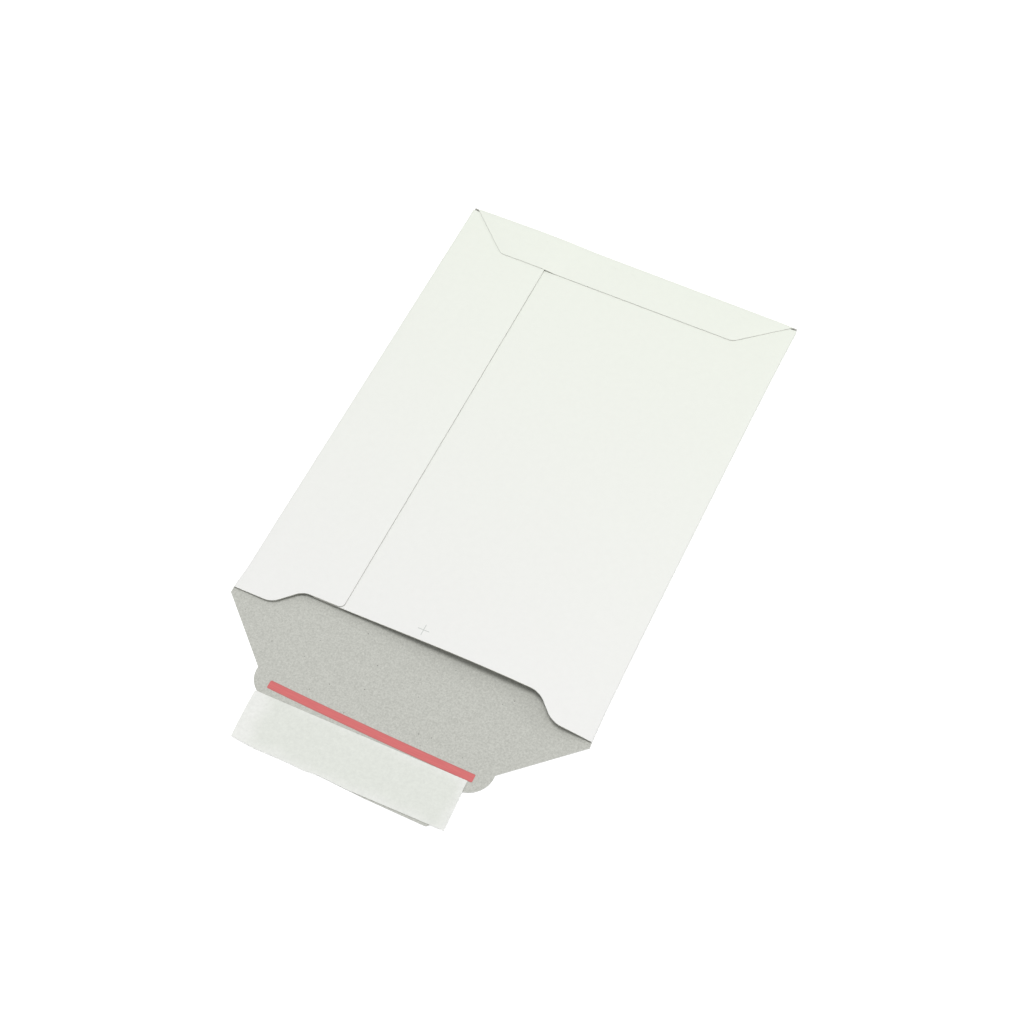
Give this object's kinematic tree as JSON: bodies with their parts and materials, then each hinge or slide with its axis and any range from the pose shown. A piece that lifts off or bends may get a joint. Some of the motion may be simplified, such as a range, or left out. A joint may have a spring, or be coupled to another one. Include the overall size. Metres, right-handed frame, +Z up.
{
  "type": "cardboard envelope",
  "caption": "Flat rigid mailing envelope of white-lined grey board with a glued seam, an end flap and an open tapered closing flap with a tear strip and a covered adhesive strip.",
  "frame": {"origin": "on the table under the middle of the open envelope's outline", "axes": "+Y from the open closing flap along the pocket to the end flap, +X across the mouth, +Z up from the table"},
  "size_m": [0.178, 0.314, 0.0064],
  "materials": {
    "board_outside": "white clay-coated face of grey solid board, matt",
    "board_inside": "uncoated grey recycled board, matt with fine fibres",
    "tear_tape": "red film tape, satin",
    "adhesive": "clear hot-melt adhesive, glossy",
    "release_paper": "translucent siliconised paper, satin"
  },
  "bodies": {
    "body": {"envelope_body": "board_outside", "seam_glue": "adhesive", "end_flap_glue": "adhesive"},
    "flap": {"closing_flap": "board_inside", "tear_strip": "tear_tape", "adhesive_strip": "adhesive", "release_liner": "release_paper"}
  },
  "joints": [
    {"name": "closing_flap_hinge", "type": "hinge", "parent": "body", "child": "flap", "pos_m": [0, -0.0935, 0.0039], "axis": [-1, 0, 0], "range_deg": [0, 179]}
  ]
}
